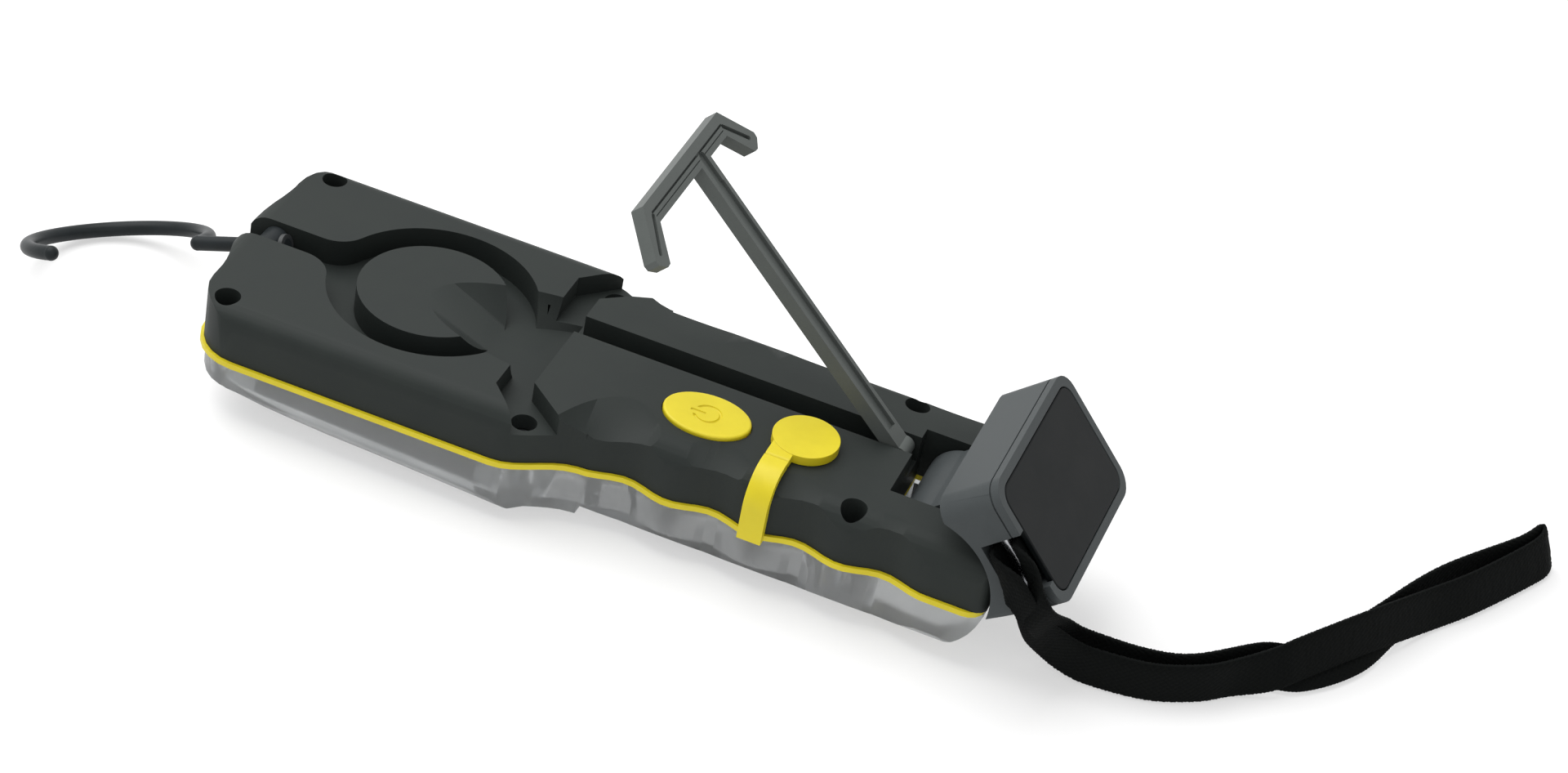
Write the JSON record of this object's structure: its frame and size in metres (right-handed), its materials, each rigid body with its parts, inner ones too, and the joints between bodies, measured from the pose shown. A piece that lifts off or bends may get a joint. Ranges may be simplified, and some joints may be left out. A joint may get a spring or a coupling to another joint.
{
  "type": "folding work light",
  "caption": "Hand-held work light with a flat head, finger-grip handle, swing-out hook, T-shaped stand, tilting magnetic foot and wrist strap.",
  "frame": {"origin": "on the front face of the lens, under the middle of the hook's ring recess", "axes": "+X from the head to the foot, +Y to the left looking along +X with the back up, +Z out of the back; the lamp lies front down on z = 0"},
  "size_m": [0.3139, 0.1068, 0.0768],
  "materials": {
    "black_plastic": "fine spark-eroded texture",
    "foot_plastic": "satin",
    "hook_plastic": "semi-gloss",
    "clear_lens": "clear, ribbed inside",
    "yellow_silicone": "matt moulded silicone",
    "steel": "plated",
    "light_plastic": "reflector grade",
    "board": "solder mask",
    "led_yellow": "phosphor",
    "cell_wrap": "shrink sleeve",
    "dark_part": "moulded",
    "lead_wire": "wire sleeve",
    "webbing": "woven polyester"
  },
  "bodies": {
    "housing": {"back_cover": "black_plastic", "lens_cover": "clear_lens", "gasket": "yellow_silicone", "housing_screws": "steel", "tact_switch": "steel", "charging_jack": "dark_part", "control_board": "board", "battery_cell": "cell_wrap", "battery_cradle": "dark_part", "battery_leads": "lead_wire", "led_leads": "lead_wire", "led_tray": "light_plastic", "led_board": "light_plastic", "led_chips": "led_yellow", "board_screws": "steel", "kickstand_pin": "steel", "foot_pin": "steel", "foot_washers": "steel"},
    "button": {"power_button": "yellow_silicone", "switch_plunger": "dark_part"},
    "plug": {"port_plug": "yellow_silicone"},
    "barrel": {"hook_barrel": "hook_plastic"},
    "hook": {"hook": "hook_plastic", "hook_clip": "steel"},
    "stand": {"kickstand": "black_plastic"},
    "foot": {"foot_housing": "foot_plastic", "foot_cover": "foot_plastic", "magnet": "steel", "strap_bar": "steel", "wrist_strap": "webbing"}
  },
  "joints": [
    {"name": "hook_fold", "type": "hinge", "parent": "housing", "child": "barrel", "pos_m": [-0.0363, 0.0009, 0.0225], "axis": [0, 1, 0], "range_deg": [0, 200]},
    {"name": "hook_turn", "type": "hinge", "parent": "barrel", "child": "hook", "pos_m": [-0.0363, 0.0009, 0.0225], "axis": [0.9397, 0, 0.342], "range_deg": [-1, 21.6]},
    {"name": "stand_fold", "type": "hinge", "parent": "housing", "child": "stand", "pos_m": [0.099, 0.0064, 0.0242], "axis": [0, 1, 0], "range_deg": [-43.6, 16.4]},
    {"name": "foot_tilt", "type": "hinge", "parent": "housing", "child": "foot", "pos_m": [0.1122, 0, 0.0175], "axis": [0, -1, 0], "range_deg": [-41.6, 48.4]},
    {"name": "button_press", "type": "slide", "parent": "housing", "child": "button", "axis": [0, 0, -1], "range_m": [0, 0.0008], "stiffness_N_per_m": 1500},
    {"name": "plug_open", "type": "hinge", "parent": "housing", "child": "plug", "pos_m": [0.0798, -0.0138, 0.0275], "axis": [1, 0, 0], "range_deg": [0, 95]}
  ],
  "couplings": [
    {"joint": "hook_turn", "follows": "hook_fold", "ratio": 0.104}
  ]
}
